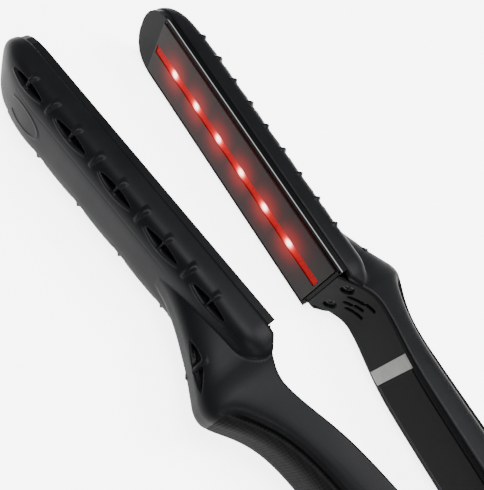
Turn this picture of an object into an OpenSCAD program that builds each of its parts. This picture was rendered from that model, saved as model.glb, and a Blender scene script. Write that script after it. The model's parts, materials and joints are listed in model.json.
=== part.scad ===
// Infrared hair straightener lying open on its side, in millimetres.
// Two mirrored arms turn on one upright pin at the right-hand end and open in a V to the left.
// Inside an arm: s runs from the pin to the tip, h outward from the plate face, w along the pin.

/* [Arm] */
// distance from the pin to the tip of an arm
arm_len = 269.5; // [268:0.5:280]
// angle of each arm from the middle line in the rest position
open_deg = 4.5; // [4:0.25:8]
// half width of the hot barrel
barrel_w = 12; // [11.6:0.1:13]
// outer face height of the barrel
barrel_h = 13; // [12.5:0.25:14.5]
// distance from the pin to the crest of the hump
hump_s = 158; // [156:0.5:159]
// height of the crest of the hump
hump_h = 28; // [26:0.5:29]
// length of the ramp from the crest to the barrel
ramp_len = 32; // [29:1:33]
// outer face height of the handle behind the hump
handle_h = 17.6; // [16.5:0.1:18.2]
// half width of the handle
handle_w = 10.4; // [10.1:0.1:11]
// outer face height at the hinge end
heel_h = 13; // [12.4:0.2:13.6]
// wall thickness of the outer shell
wall = 1.8; // [1.5:0.1:2]
// sides of half a cross section
ring_n = 14; // [12:2:16]

/* [Plates] */
// distance of a heating plate from the crest of the hump
plate_back = 7.4; // [7:0.1:8.5]
// distance of a heating plate from the tip
plate_tip = 10.1; // [9.6:0.1:14]
// half width of a heating plate
plate_w = 10.6; // [10.2:0.1:10.6]
// thickness of a heating plate
plate_t = 2.8; // [2.4:0.1:2.9]
// distance of a plate face from the middle plane when the arms are closed
plate_gap = 0.2; // [0.15:0.05:0.4]
// travel of a floating plate
float_travel = 0.8; // [0.4:0.1:0.9]
// half width of the slot for the infrared lens
slot_w = 1.6; // [1.3:0.1:2.2]
// number of infrared lamps behind the lens
lamp_count = 6; // [4:1:8]
// height of the carrier lip above the middle plane
lip_h = 0.7; // [0.6:0.1:1]
// height where the carrier meets the shell
seam_h = 3.1; // [3:0.1:3.4]

/* [Vents] */
// distance from the tip to the first rib
rib_tip = 18.5; // [17:0.5:21]
// distance between ribs
rib_pitch = 9.2; // [8.8:0.1:9.4]
// number of ribs on each corner of the barrel
rib_count = 9; // [5:2:9]
// thickness of a rib
rib_t = 1.7; // [1.3:0.1:2.2]
// height of a rib above the barrel surface
rib_out = 0.45; // [0.3:0.05:0.6]
// length of a lens-shaped vent
vent_len = 14.5; // [11:0.5:15.5]
// width of a lens-shaped vent
vent_w = 4.4; // [3.6:0.1:5.4]
// length of a vent on the hump
eye_len = 11; // [9:0.5:12]
// width of a vent on the hump
eye_w = 3.4; // [2.8:0.1:4.2]

/* [Inner cover] */
// half width of the inner cover
cover_w = 9; // [8.6:0.1:9.3]
// thickness of the inner cover
cover_t = 1.9; // [1.6:0.1:2.2]
// height of the inner cover at its neck
neck_h = 8.5; // [7.5:0.25:9]
// distance of the top of the neck from the crest of the hump
neck_back = 7; // [6:0.5:9]
// height of the inner cover near the hinge
inner_h = 0.7; // [0.6:0.1:1.2]
// radius of a cover screw
screw_r = 1.3; // [1.1:0.05:1.5]
// number of slanting slits in the neck
slit_count = 6; // [4:1:6]

/* [Controls] */
// distance from the pin to the power button
power_s = 62; // [58:1:64]
// distance from the pin to the first level button
level_s = 78; // [76:1:80]
// distance between the level buttons
level_pitch = 10; // [9.5:0.25:11]
// radius of a button
button_r = 3; // [2.6:0.1:3.3]
// travel of a button
button_travel = 0.5; // [0.3:0.1:0.6]
// length of the display window
window_len = 12; // [9:0.5:13]

/* [Hinge] */
// radius of the hinge pin
pin_r = 2.4; // [2:0.1:2.8]
// running clearance between a shaft and its hole
run_fit = 0.05; // [0.03:0.01:0.08]
// radius of the hinge knuckles
knuckle_r = 8.4; // [8:0.2:9]
// half height of the middle knuckle
knuckle_w = 5.6; // [5.2:0.1:6]
// radius of the wire of the hinge spring
wire_r = 0.55; // [0.4:0.05:0.6]
// number of turns of the hinge spring
spring_turns = 3; // [2:1:4]
// radius of the cord hole in the swivel collar
cord_r = 2.4; // [2:0.1:2.8]
// length of the swivel collar outside the hinge
collar_len = 12; // [9:0.5:15]

/* [Hidden] */
// half height of the whole part across its ribs
half_w = barrel_w + 0.1;
// distance of the end of the swivel collar from the pin
collar_end = knuckle_r + 9 + collar_len;
// shift that brings the middle of the length to the origin
mid_x = (arm_len * cos(open_deg) - lip_h * sin(open_deg)
         - collar_end * cos(open_deg) - 4.4 * sin(open_deg)) / 2;
// both ends of a plate
plate_s0 = hump_s + plate_back;
plate_s1 = arm_len - plate_tip;
// distances of the top of the neck and of the spoon end of the barrel from the pin
neck_s = hump_s - neck_back;
spoon_s = hump_s - 1;
// first rib, and how many fit on the barrel
rib_s = arm_len - rib_tip;
ribs = min(rib_count, floor((rib_s - spoon_s - 20) / rib_pitch) + 1);
// places of the posts that carry the leaf springs
post_s = [plate_s0 + 19, plate_s1 - 13];
// height above which the float parts may travel
stack_h = plate_gap + plate_t;
// end of the inner cover at the plate
cover_end = plate_s0 - 1.6;
// start of the shell and the cover at the hinge
heel_s = 9.6;

// eases from 0 to 1 between a and b
function ease(x, a, b) = let (t = min(1, max(0, (x - a) / (b - a)))) t * t * (3 - 2 * t);

// height of the inner cover: flat at the hinge, rising to the neck, quarter wave down to the plate
function inner_at(s) = s > neck_s
    ? inner_h + (neck_h - inner_h) * cos(90 * min(1, (s - neck_s) / (cover_end - neck_s)))
    : inner_h + (neck_h - 3 - inner_h) * max(0, (s - 50) / (neck_s - 50))
      + 3 * exp(-pow((neck_s - s) / 14.5, 2));

// height of the outer face: handle, hump with its steep back, ramp, barrel, falling nose
function outer_at(s) =
    s > nose_s ? nose_at((s - nose_s) / 24)
    : s > ramp_end ? barrel_h
    : s > hump_s ? barrel_h + (hump_h - barrel_h) * pow((ramp_end - s) / ramp_len, 1.4)
    : heel_h + (handle_h - heel_h) * ease(s, 0, 90)
      + (hump_h - handle_h) * exp(-pow((hump_s - s) / 11.2, 1.5));
function nose_at(t) = seam_h + 0.6 + (barrel_h - seam_h - 0.6) * pow(max(0, 1 - pow(t, 2.6)), 0.6);

// half width of the barrel, with a round nose and a spoon end at the neck
function barrel_width(s) =
    let (t = max(0, (s - arm_len + 18) / 18), k = max(0, (spoon_s + 9 - s) / 9))
    barrel_w * pow(max(0, 1 - pow(min(1, t), 4)), 0.45) + 0.3 * min(1, t)
    - 3.2 * (1 - sqrt(max(0, 1 - k * k)));
function barrel_top(s) =
    let (k = max(0, (spoon_s + 9 - s) / 9))
    s > nose_s ? nose_at((s - nose_s) / 24) : barrel_h - 1.6 * k * k;

// half width of the handle and hump
function handle_width(s) = handle_w - 0.7 * ease(s, hump_s - 38, hump_s - 2)
    - 0.9 * ease(s, hump_s - 2, hump_s + 6) + 1.3 * ease(s, hump_s + 16, hump_s + ramp_len);

// lower edge of the shell, on the carrier and then on the inner cover
function seam_at(s) = s > cover_end ? seam_h : max(seam_h, inner_at(s) + cover_t + 0.1);

// how much the section of the hump narrows toward its top
function lean_at(s) = 0.12 + 0.16 * ease(s, hump_s - 30, hump_s - 2);

// half a cross section as points [-s, h, w], a rounded box with exponent 4
function ring(s, low, top, half, lean, n) = [
    for (i = [0 : n])
        let (c = -cos(180 * i / n), d = sin(180 * i / n), y = sqrt(abs(d)))
        [-s, low + (top - low) * y, sign(c) * sqrt(abs(c)) * half * (1 - lean * y)]];
function barrel_ring(s, inset, n) =
    ring(s, seam_at(s) - (inset > 0 ? 1 : 0), barrel_top(s) - inset, barrel_width(s) - inset, 0, n);
function handle_ring(s, inset, n) =
    ring(s, seam_at(s) - (inset > 0 ? 1 : 0), outer_at(s) - inset, handle_width(s) - inset,
         lean_at(s), n);

// solid through rings that all have the same number of points
module loft(rings) {
    m = len(rings[0]);
    k = len(rings);
    polyhedron(
        points = [for (r = rings) each r],
        faces = concat(
            [[for (j = [m - 1 : -1 : 0]) j]],
            [[for (j = [0 : m - 1]) (k - 1) * m + j]],
            [for (i = [0 : k - 2], j = [0 : m - 1])
                let (a = i * m + j, b = i * m + (j + 1) % m) [a, b, a + m]],
            [for (i = [0 : k - 2], j = [0 : m - 1])
                let (a = i * m + j, b = i * m + (j + 1) % m) [b, b + m, a + m]]),
        convexity = 6);
}

// stations along the arm, close together where the outline bends
ramp_end = hump_s + ramp_len;
nose_s = arm_len - 24;
handle_s = concat([heel_s, 16, 40, 65, 90, 110],
    [for (d = [-38, -34, -30, -26, -22, -18, -14, -10, -7, -4, -2, 0, 3]) hump_s + d],
    [for (d = [7 : 5 : ramp_len]) hump_s + d], [ramp_end + 4]);
barrel_s = concat([for (k = [0 : 4]) spoon_s + 9 - 8.8 * cos(90 * k / 5)], [spoon_s + 9],
    [ramp_end, (ramp_end + nose_s) / 2],
    [for (k = [0 : 7]) nose_s + 24 * sin(90 * k / 8)], [arm_len - 0.3]);
cavity_s = concat([heel_s - 1, 40, 90], [for (d = [-43, -30, -20, -12, -6, 0, 7, 17, 27]) hump_s + d],
    [ramp_end + 2]);

// puts an arm in place: side 1 is the far arm, side -1 the near one
module arm(side) {
    translate([mid_x, 0, half_w])
        rotate([0, 0, -side * open_deg])
            mirror([0, side < 0 ? 1 : 0, 0])
                children();
}

// box given by its ranges along s, h and w
module slab(s0, s1, h0, h1, w0, w1) {
    translate([-s1, h0, w0]) cube([s1 - s0, h1 - h0, w1 - w0]);
}

// cylinder that stands along h
module post(s, w, r, h0, h1) {
    translate([-s, h0, w]) rotate([-90, 0, 0]) cylinder(r = r, h = h1 - h0, $fn = 32);
}

// lens-shaped prism of the given length and width, standing along z
module lens(length, width, depth) {
    r = (length * length + width * width) / (4 * width);
    intersection() {
        translate([0, r - width / 2, 0]) cylinder(r = r, h = depth, center = true, $fn = 40);
        translate([0, width / 2 - r, 0]) cylinder(r = r, h = depth, center = true, $fn = 40);
    }
}

// places a lens-shaped cutter on the corner of the barrel
module corner_vent(s, up, length, width) {
    translate([-s, barrel_h - 2.9, up * (barrel_w - 2.9)])
        rotate([up * 45 - 90, 0, 0])
            lens(length, width, 9);
}

// rib that follows the corner of the barrel
module rib(s, up) {
    pts = concat(
        [for (k = [0 : 6]) rib_point(k)],
        [for (k = [6 : -1 : 0]) corner_point(18 + 42 * k / 6, -1.9)]);
    translate([-s - rib_t / 2, 0, 0])
        mirror([0, 0, up > 0 ? 0 : 1])
            rotate([90, 0, 90])
                linear_extrude(rib_t) polygon(pts);
}
function rib_point(k) = corner_point(18 + 42 * k / 6, rib_out * sqrt(sin(8 + 164 * k / 6)));
function corner_point(t, out) = [
    seam_h + (barrel_h + out * 0.8 - seam_h) * pow(sin(t), 0.5),
    (barrel_w + out) * pow(cos(t), 0.5)];

// slim vent with a bridge on the flank of the hump
module eye_cut(up) {
    slope = atan(1.4 * (hump_h - barrel_h) / ramp_len * 0.85);
    translate([-(hump_s + 10), outer_at(hump_s + 10) - 1.2, up * 4.1])
        rotate([0, 0, slope])
            rotate([up * 32 - 90, 0, 0])
                lens(eye_len, eye_w, 6);
}

module outer_shell() {
    difference() {
        union() {
            difference() {
                union() {
                    loft([for (s = handle_s) handle_ring(s, 0, ring_n)]);
                    loft([for (s = barrel_s) barrel_ring(s, 0, ring_n)]);
                }
                // hollow of the handle and hollow of the barrel
                loft([for (s = cavity_s) handle_ring(s, wall, ring_n - 6)]);
                loft([for (s = [spoon_s + 7, spoon_s + 28, nose_s, nose_s + 9, nose_s + 15])
                    barrel_ring(s, wall, ring_n - 6)]);
                for (k = [0 : 2 : ribs - 1], up = [-1, 1])
                    corner_vent(rib_s - k * rib_pitch, up, vent_len, vent_w);
                for (up = [-1, 1]) eye_cut(up);
                grip_space();
                // room for the edges of the floating plate
                slab(plate_s0 - 0.3, plate_s1 + 0.3, 0, stack_h + float_travel + 0.2,
                     -plate_w - 0.2, plate_w + 0.2);
            }
            for (k = [0 : ribs - 1], up = [-1, 1]) rib(rib_s - k * rib_pitch, up);
            // bridges across the two vents of the hump
            for (up = [-1, 1])
                translate([-(hump_s + 10), outer_at(hump_s + 10) - 2.2, up * 4.5])
                    rotate([up * 32, 0, 0])
                        translate([-0.7, -1.2, -2.4]) cube([1.4, 2.6, 4.8]);
            // bosses for the cover screws
            for (p = screw_places)
                post(p[0], p[1], 2.6, inner_at(p[0]) + cover_t + 0.45,
                     min(outer_at(p[0] - 3) - 2.2, inner_at(p[0]) + 10.5));
            // posts that carry the leaf springs and the lamp board
            for (s = post_s)
                slab(s - 2, s + 2, 8.6, barrel_h - 1, -9, 9);
        }
        for (p = screw_places)
            post(p[0], p[1], screw_r + 0.1, 0, inner_at(p[0]) + 9.2);
        heel_space();
    }
}
// places of the cover screws [s, w]
screw_places = [[neck_s - 5, 4.6], [neck_s - 5, -4.6], [heel_s + 20.4, 5.4], [heel_s + 20.4, -5.4]];

// room in the shell and the covers for the hinge blocks
module heel_space() {
    translate([0, 0, -20]) cylinder(r = knuckle_r + 0.5, h = 40, $fn = 48);
}

// recess for the grip panel and the panel itself
module grip_body(top, bottom, edge) {
    stations = concat([24 - edge, 40, 65, 90],
        [for (d = [-50 : 6 : -14]) hump_s + d], [hump_s - 9, hump_s - 6, hump_s - 3.5 + edge]);
    loft([for (s = stations)
        let (half = handle_width(s) * (1 - lean_at(s)) * 0.8 + edge, y = outer_at(s),
             drop = 0.55)
        [[-s, y + top - drop, -half], [-s, y + top - drop * 0.25, -half * 0.6],
         [-s, y + top, 0], [-s, y + top - drop * 0.25, half * 0.6],
         [-s, y + top - drop, half], [-s, y + bottom, half], [-s, y + bottom, -half]]]);
}
module grip_space() {
    grip_body(4, -1.3, 0.2);
}

module shell_near() { color("#26292b") arm(-1) outer_shell(); }
module shell_far() { color("#26292b") arm(1) outer_shell(); }

module grip_near() { color("#2c2a28") arm(-1) grip_body(0.12, -1.2, 0); }
module grip_far() { color("#2c2a28") arm(1) grip_body(0.12, -1.2, 0); }

// outline of the carrier seen from the plate side, with the round nose of the barrel
module nose_outline(edge) {
    edge_s = concat([cover_end + 0.2], [for (k = [0 : 8]) arm_len - 18 + 17.9 * sin(11 * k)]);
    half = [for (s = edge_s) max(1, barrel_width(max(s, spoon_s + 9)) - edge)];
    last = len(edge_s) - 1;
    polygon(concat(
        [for (k = [0 : last]) [-edge_s[k], -half[k]]],
        [for (k = [last : -1 : 0]) [-edge_s[k], half[k]]]));
}
module carrier_body() {
    difference() {
        translate([0, seam_h - 0.1, 0]) rotate([90, 0, 0]) linear_extrude(seam_h - 0.1 - lip_h)
            nose_outline(0.4);
        slab(plate_s0 - 0.3, plate_s1 + 0.3, -1, seam_h + 1, -plate_w - 0.3, plate_w + 0.3);
    }
    // corner nubs beside the neck
    for (up = [-1, 1])
        slab(cover_end + 0.2, cover_end + 1.1, lip_h - 0.3, lip_h + 0.5,
             up * 9.6 - 1.2, up * 9.6 + 1.2);
}
module carrier_near() { color("#1b1c1d") arm(-1) carrier_body(); }
module carrier_far() { color("#1b1c1d") arm(1) carrier_body(); }

module plate_body(slot) {
    difference() {
        union() {
            slab(plate_s0, plate_s1, plate_gap, plate_gap + plate_t, -plate_w + 0.6, plate_w - 0.6);
            slab(plate_s0, plate_s1, plate_gap + 0.6, plate_gap + plate_t, -plate_w, plate_w);
        }
        if (slot)
            slab(plate_s0 + 0.8, plate_s1 - 0.8, -1, 6, -slot_w, slot_w);
    }
}
module plate_near() { color("#3a3b3a") arm(-1) plate_body(false); }
module plate_far() { color("#3a3b3a") arm(1) plate_body(true); }

// two ceramic heaters on the back of each plate
module heater_body() {
    for (up = [-1, 1])
        slab(plate_s0 + 12, plate_s1 - 14, stack_h, stack_h + 1.6, up * 6.2 - 2.6, up * 6.2 + 2.6);
}
module heaters_near() { color("#d9d4c8") arm(-1) heater_body(); }
module heaters_far() { color("#d9d4c8") arm(1) heater_body(); }

// pressure plate over the heaters, open in the middle
module clamp_body() {
    difference() {
        slab(plate_s0 + 7, plate_s1 - 7, stack_h + 1.6, stack_h + 2.4, -9.6, 9.6);
        slab(plate_s0 + 11, plate_s1 - 9.5, 0, 20, -3.2, 3.2);
    }
    for (s = [plate_s0 + 7, plate_s1 - 9])
        for (up = [-1, 1])
            slab(s, s + 2, stack_h, stack_h + 1.6, up * 6.2 - 2.6, up * 6.2 + 2.6);
}
module clamp_near() { color("#a9adb0") arm(-1) clamp_body(); }
module clamp_far() { color("#a9adb0") arm(1) clamp_body(); }

// bent leaf springs that press the pressure plate
module leaf_body() {
    r = 60;
    for (s = post_s, up = [-1, 1])
        translate([-s, 8.6 - r, up * 6.4 - 2])
            intersection() {
                difference() {
                    cylinder(r = r, h = 4, $fn = 120);
                    translate([0, 0, -1]) cylinder(r = r - 0.5, h = 6, $fn = 120);
                }
                translate([-13, r - 2.4, -1]) cube([26, 3, 6]);
            }
}
module leaf_springs_near() { color("#c2c4c6") arm(-1) leaf_body(); }
module leaf_springs_far() { color("#c2c4c6") arm(1) leaf_body(); }

// thermal cut-out clipped on the pressure plate
plate_mid = (plate_s0 + plate_s1) / 2;
module cutout_body() {
    slab(plate_mid - 7, plate_mid + 7, stack_h + 2.4, stack_h + 4.6, 3.6, 8);
}
module cutout_near() { color("#d8cfc0") arm(-1) cutout_body(); }
module cutout_far() { color("#d8cfc0") arm(1) cutout_body(); }

// red strip in the slot of the far plate
module infrared_lens() {
    color("#e02a2a") arm(1) {
        slab(plate_s0 + 0.9, plate_s1 - 0.9, plate_gap + 0.3, plate_gap + plate_t,
             -slot_w + 0.05, slot_w - 0.05);
        slab(plate_s0 + 4, plate_s1 - 6, stack_h, stack_h + 0.5, -slot_w - 0.9, slot_w + 0.9);
    }
}
// lamps on their board behind the strip
lamp_pitch = (plate_s1 - plate_s0 - 27.6) / (lamp_count - 1);
module lamp_board() {
    color("#1e6b3a") arm(1) slab(plate_s0 + 8, plate_s1 - 10, 7.4, 8.6, -2.6, 2.6);
}
module lamps() {
    color("#f0e6e0") arm(1)
        for (k = [0 : lamp_count - 1])
            post(plate_s0 + 15.3 + k * lamp_pitch, 0, 1.5, 5.2, 7.4);
}

// sheet that follows the inner face of an arm between two depths
module inner_sheet(stations, half, d0, d1) {
    translate([0, 0, -half])
        linear_extrude(2 * half)
            polygon(concat(
                [for (s = stations) [-s, inner_at(s) + d0]],
                [for (k = [len(stations) - 1 : -1 : 0])
                    [-stations[k] + 0.7 * ease(stations[k], neck_s, neck_s + 5),
                     inner_at(stations[k]) + d1]]));
}
// inner cover: a bent sheet along the arm with screw holes and slits
module cover_sheet() {
    inner_sheet(concat([heel_s, 30, 50, 70, 90, 105], [for (d = [-36 : 5 : -1]) neck_s + d],
        [for (k = [0 : 10]) neck_s + (cover_end - neck_s) * k / 10]), cover_w, 0, cover_t);
}
module cover_body(near) {
    difference() {
        cover_sheet();
        for (p = screw_places) {
            post(p[0], p[1], screw_r + 0.1, -2, 20);
            post(p[0], p[1], 2.5, -2, inner_at(p[0]) + 0.9);
        }
        for (k = [0 : slit_count - 1])
            translate([-(neck_s - 11 - 3 * k), 0, 0])
                rotate([0, 24, 0])
                    translate([-0.4, -1, -4.4]) cube([0.8, 20, 8.8]);
        if (near) {
            for (s = [power_s, level_s, level_s + level_pitch])
                post(s, 0, button_r + run_fit, -3, 10);
            slab(window_s - 0.1, window_s + window_len + 0.1,
                 -3, 10, -4.1, 4.1);
        }
        else {
            // shallow beds of the label and of the dark panel
            inner_sheet(panel_stations(0.1), 5.6, -1, 0.6);
        }
        heel_space();
    }
}
module cover_near() { color("#1d1f20") arm(-1) cover_body(true); }
module cover_far() { color("#1d1f20") arm(1) cover_body(false); }

module screws_body() {
    for (p = screw_places) {
        h = inner_at(p[0]);
        difference() {
            post(p[0], p[1], 2.3, h + 0.15, h + 0.9);
            slab(p[0] - 1.5, p[0] + 1.5, h - 1, h + 0.45, p[1] - 0.25, p[1] + 0.25);
            slab(p[0] - 0.25, p[0] + 0.25, h - 1, h + 0.45, p[1] - 1.5, p[1] + 1.5);
        }
        post(p[0], p[1], screw_r, h + 0.9, h + 9);
    }
}
module screws_near() { color("#77797b") arm(-1) screws_body(); }
module screws_far() { color("#77797b") arm(1) screws_body(); }

// plain label and plain panel on the far inner cover
module blank_label() {
    color("#b9bbb8") arm(1) inner_sheet([for (k = [0 : 4]) neck_s - 23 + 2 * k], 8, -0.2, 0);
}
module blank_panel() {
    color("#0e0f10") arm(1) inner_sheet(panel_stations(0), 5.5, 0.25, 0.6);
}
// stations along the dark panel, which ends before the slits
function panel_stations(edge) = [for (k = [0 : 5])
    neck_s - 64 - edge + (38 + 2 * edge) * k / 5];

// height of a button's flange, clear of the sloping cover
function flange_at(s) = inner_at(s + button_r + 0.9) + cover_t + 0.12;
// buttons with a hidden flange, window, switches and board of the near arm
module button_at(s) {
    arm(-1) {
        post(s, 0, button_r, inner_at(s) - 0.6, flange_at(s));
        post(s, 0, button_r + 0.9, flange_at(s), flange_at(s) + 0.8);
    }
}
module power_button() { color("#8d9092") button_at(power_s); }
module minus_button() { color("#3c4043") button_at(level_s); }
module plus_button() { color("#3c4043") button_at(level_s + level_pitch); }

window_s = level_s + level_pitch + 8.1;
board_h = 8.2;
module display_window() {
    color("#101214") arm(-1)
        slab(window_s, window_s + window_len, inner_at(window_s) + 0.2, inner_at(window_s) + 1.6,
             -4, 4);
}
module control_board() {
    color("#1e6b3a") arm(-1) {
        slab(power_s - 24, window_s + window_len + 14, board_h, board_h + 1.6, -7, 7);
        slab(window_s + 1, window_s + window_len - 1, inner_at(window_s) + 1.6, board_h, -3.4, 3.4);
    }
}
module switches() {
    color("#b8babc") arm(-1)
        for (s = [power_s, level_s, level_s + level_pitch])
            slab(s - 2, s + 2, flange_at(s) + 0.9 + button_travel, board_h, -2, 2);
}

// half height of the cheeks, reach of the tongues into the shells, clearance of the fixed pin
cheek_w = handle_w;
tongue_s = 26;
tongue_h = 8.2;
tongue_w = handle_w - wall - 1.2;
press_fit = 0.02;
// hinge block of the near arm: middle knuckle, tongue into the shell and socket of the swivel
module hinge_block_near() {
    color("#2b2e30") arm(-1) difference() {
        union() {
            translate([0, 0, -knuckle_w]) cylinder(r = knuckle_r, h = 2 * knuckle_w, $fn = 64);
            slab(0, tongue_s, inner_h + cover_t + 0.15, tongue_h, -knuckle_w, knuckle_w);
            rotate([0, 90, 0]) cylinder(r = 7.6, h = knuckle_r + 9, $fn = 48);
        }
        // room for the cheeks of the far arm
        for (up = [-1, 1])
            translate([0, 0, up * (knuckle_w + 5) - 5])
                cylinder(r = knuckle_r + 0.6, h = 10, $fn = 64);
        translate([0, 0, -20]) cylinder(r = pin_r + run_fit, h = 40, $fn = 48);
        // chamber of the hinge spring
        translate([0, 0, -spring_half])
            cylinder(r = coil_r + wire_r + 0.5, h = 2 * spring_half, $fn = 48);
        translate([-leg_reach - 1, -coil_r - wire_r - 0.5, -spring_half])
            cube([leg_reach + 1, 2 * (coil_r + wire_r + 0.5), 2 * spring_half]);
        // stepped socket of the swivel collar
        rotate([0, 90, 0]) {
            translate([0, 0, knuckle_r + 2.8]) cylinder(r = cord_r + 2 + run_fit, h = 20, $fn = 48);
            translate([0, 0, knuckle_r + 0.6]) cylinder(r = cord_r + 3.4, h = 3, $fn = 48);
        }
    }
}
// hinge block of the far arm: two cheeks on a bridge
module hinge_block_far() {
    color("#2b2e30") arm(1) difference() {
        union() {
            for (up = [-1, 1])
                translate([0, 0, up > 0 ? knuckle_w + 0.3 : -cheek_w])
                    cylinder(r = knuckle_r, h = cheek_w - knuckle_w - 0.3, $fn = 64);
            for (up = [-1, 1])
                slab(0, tongue_s, 3.2, tongue_h, up > 0 ? knuckle_w + 0.3 : -tongue_w,
                     up > 0 ? tongue_w : -knuckle_w - 0.3);
            slab(knuckle_r + 2, tongue_s, inner_h + cover_t + 0.15, tongue_h, -tongue_w, tongue_w);
        }
        translate([0, 0, -20]) cylinder(r = pin_r + press_fit, h = 40, $fn = 48);
    }
}

module hinge_pin() {
    color("#c9ccce") arm(1) translate([0, 0, -cheek_w]) cylinder(r = pin_r, h = 2 * cheek_w, $fn = 48);
}
// caps over the pin ends
module pin_caps() {
    color("#1f2122") arm(1)
        for (up = [-1, 1])
            translate([0, 0, up > 0 ? cheek_w : -half_w])
                cylinder(r = knuckle_r - 1, h = half_w - cheek_w, $fn = 48);
}

// coil spring round the pin with two short legs
coil_r = pin_r + 1.2 + wire_r;
spring_half = 2.9;
leg_reach = coil_r + 3.4;
module torsion_spring() {
    turns = spring_turns + 0.5;
    steps = 16 * turns;
    pitch = (2 * spring_half - 2 * wire_r - 1) / turns;
    coil = [for (k = [0 : steps])
        let (t = 270 - 360 * k / 16)
        [coil_r * cos(t), coil_r * sin(t), pitch * turns * (k / steps - 0.5)]];
    path = concat([[-leg_reach, -coil_r, coil[0][2]]], coil,
        [[-leg_reach, coil_r, coil[steps][2]]]);
    color("#b5b8ba") arm(-1) tube(path, wire_r, 6);
}
// tube of n sides along a path in which w rises slowly
module tube(path, r, n) {
    last = len(path) - 1;
    rings = [for (k = [0 : last])
        let (a = path[max(0, k - 1)], b = path[min(last, k + 1)],
             d = [b[0] - a[0], b[1] - a[1]], l = norm(d), u = [d[1] / l, -d[0] / l])
        [for (j = [0 : n - 1])
            let (c = r * cos(360 * j / n), e = r * sin(360 * j / n))
            [path[k][0] + u[0] * c, path[k][1] + u[1] * c, path[k][2] + e]]];
    loft(rings);
}

// swivel collar that the cord goes through
module swivel_collar() {
    x0 = knuckle_r + 0.9;
    color("#1b1c1d") arm(-1) difference() {
        rotate([0, 90, 0]) rotate_extrude($fn = 48) polygon([
            [0, x0], [cord_r + 3.1, x0], [cord_r + 3.1, x0 + 1.6], [cord_r + 2, x0 + 1.6],
            [cord_r + 2, knuckle_r + 9.3], [6.8, knuckle_r + 9.3], [7.2, knuckle_r + 9.8],
            [7.2, knuckle_r + 12], [6.2, knuckle_r + 13],
            [4.4, collar_end], [0, collar_end]]);
        rotate([0, 90, 0]) cylinder(r = cord_r, h = 80, $fn = 48);
    }
}

shell_near();
shell_far();
grip_near();
grip_far();
carrier_near();
carrier_far();
plate_near();
plate_far();
heaters_near();
heaters_far();
clamp_near();
clamp_far();
leaf_springs_near();
leaf_springs_far();
cutout_near();
cutout_far();
infrared_lens();
lamp_board();
lamps();
cover_near();
cover_far();
screws_near();
screws_far();
blank_label();
blank_panel();
power_button();
minus_button();
plus_button();
display_window();
control_board();
switches();
hinge_block_near();
hinge_block_far();
hinge_pin();
pin_caps();
torsion_spring();
swivel_collar();
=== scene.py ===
import json
import math
import bpy
import numpy as np
from mathutils import Matrix, Vector


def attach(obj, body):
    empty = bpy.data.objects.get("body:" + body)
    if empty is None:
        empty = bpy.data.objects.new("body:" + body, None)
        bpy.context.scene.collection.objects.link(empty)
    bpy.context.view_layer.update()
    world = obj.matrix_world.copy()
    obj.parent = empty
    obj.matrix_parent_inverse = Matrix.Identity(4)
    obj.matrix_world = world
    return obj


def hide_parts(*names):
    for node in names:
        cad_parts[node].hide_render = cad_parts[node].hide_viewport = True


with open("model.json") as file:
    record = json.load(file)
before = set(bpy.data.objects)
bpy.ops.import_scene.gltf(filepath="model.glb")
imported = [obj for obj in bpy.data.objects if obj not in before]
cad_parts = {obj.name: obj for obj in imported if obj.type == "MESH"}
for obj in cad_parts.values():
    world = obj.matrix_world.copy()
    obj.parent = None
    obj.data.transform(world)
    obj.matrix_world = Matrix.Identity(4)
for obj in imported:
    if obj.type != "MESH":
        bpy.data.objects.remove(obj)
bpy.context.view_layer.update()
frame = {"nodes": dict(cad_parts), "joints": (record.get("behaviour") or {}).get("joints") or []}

print("stage: frame loaded", len(frame["nodes"]), "nodes")

# Inside an arm all sizes are in millimetres: s from the pin to the tip, h outward, w along the pin.
hinge = next(j for j in frame["joints"] if j["name"] == "arm_hinge")["pos_m"]
arm = dict(length=269.5, openDeg=4.5, seamH=3.1, seamGap=0.35)
openAngle = math.radians(arm["openDeg"])


# eases from 0 to 1 between a and b: three times the square of the share of the way less twice its cube
def ease(x, a, b):
    t = np.clip((np.asarray(x, float) - a) / (b - a), 0, 1)
    return t * t * (3 - 2 * t)


# 1 at the middle, falling on both sides as e to the minus square of the distance over the width
def bell(x, middle, width):
    return np.exp(-((x - middle) / width) ** 2)


# base plus amounts that are each eased in between two stations
def stepped(s, base, steps):
    return sum((amount * ease(s, start, end) for amount, start, end in steps), base)


# inner cover: its neck, the bell that leads up to it, its sheet, rounded side edges and grid of stations
cover = dict(faceH=0.7, riseFrom=50, neckS=151.0, neckH=8.5, bellH=3, bellLen=14.5, end=163.8,
             halfW=9.0, thick=1.9, edgeRun=0.4, edgeDrop=0.3, frontLean=0.7, leanRun=5, across=150, behind=8,
             stops=(9.6, 26, 34, 58, 109, 146), farSteps=(1.6, 0.22, 2.0, 2.0, 1.4, 0.22),
             nearSteps=(1.6, 0.22, 2.0, 0.3, 1.4, 0.22))


# height of the inner cover: flat at the hinge, a straight rise and a bell up to the neck, then a quarter
# wave down to the plate
def innerAt(s):
    s = np.asarray(s, float)
    beyond = np.clip((s - cover["neckS"]) / (cover["end"] - cover["neckS"]), 0, 1)
    front = cover["faceH"] + (cover["neckH"] - cover["faceH"]) * np.cos(beyond * math.pi / 2)
    rise = np.maximum(0, (s - cover["riseFrom"]) / (cover["neckS"] - cover["riseFrom"]))
    back = (cover["faceH"] + (cover["neckH"] - cover["bellH"] - cover["faceH"]) * rise
            + cover["bellH"] * bell(s, cover["neckS"], cover["bellLen"]))
    return np.where(s > cover["neckS"], front, back)


# height of the shell's edge: level beside the plate, a small gap outside the cover where the cover is higher
def seamAt(s):
    on = np.maximum(arm["seamH"], innerAt(s) + arm["seamGap"])
    return np.where(s > cover["end"], arm["seamH"], on)


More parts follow.
